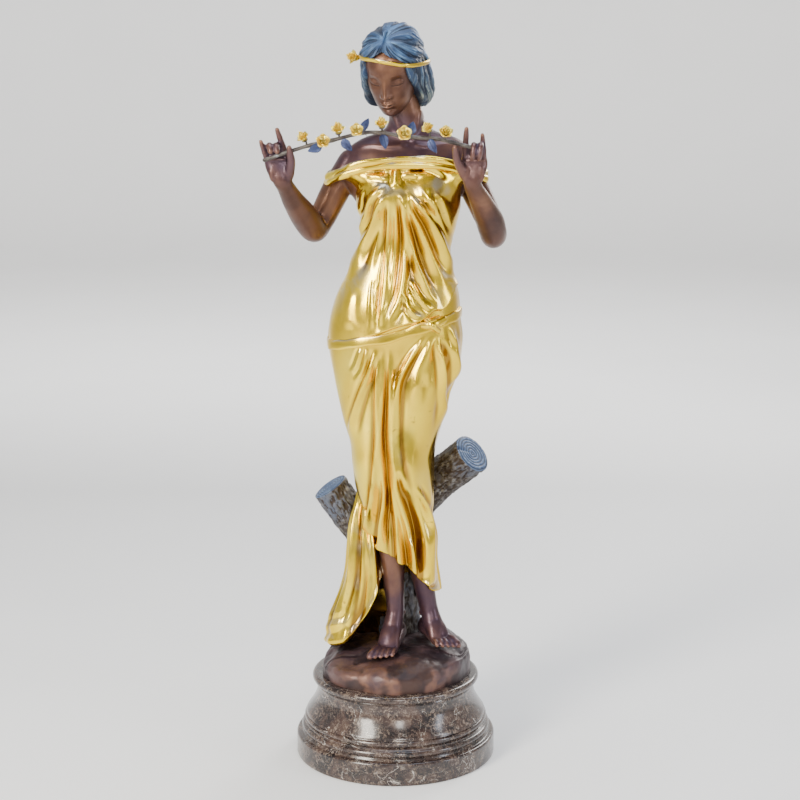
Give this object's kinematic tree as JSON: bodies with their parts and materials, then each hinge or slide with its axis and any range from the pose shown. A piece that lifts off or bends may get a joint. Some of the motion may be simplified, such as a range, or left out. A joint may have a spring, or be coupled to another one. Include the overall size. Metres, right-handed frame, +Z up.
{
  "type": "woman with flowers statue",
  "caption": "Cast bronze statue of a standing draped woman holding a flowering rose branch across her neck, on a round turned marble plinth.",
  "frame": {"origin": "centre of the plinth's flat underside", "axes": "+Z up, the woman faces -Y, her right arm is at -X"},
  "size_m": [0.5112, 0.44, 1.5986],
  "materials": {
    "dark_marble": "polished dark brown marble with pale veins",
    "gilded_bronze": "cast bronze, polished and gilded dress, brown patina on the skin, blue-grey patina on hair and cut wood",
    "gilded_roses": "cast bronze, gilded roses, brown stem and dark blue leaves"
  },
  "bodies": {
    "root": {"marble_plinth": "dark_marble", "bronze_woman": "gilded_bronze", "rose_branch": "gilded_roses"}
  },
  "joints": []
}
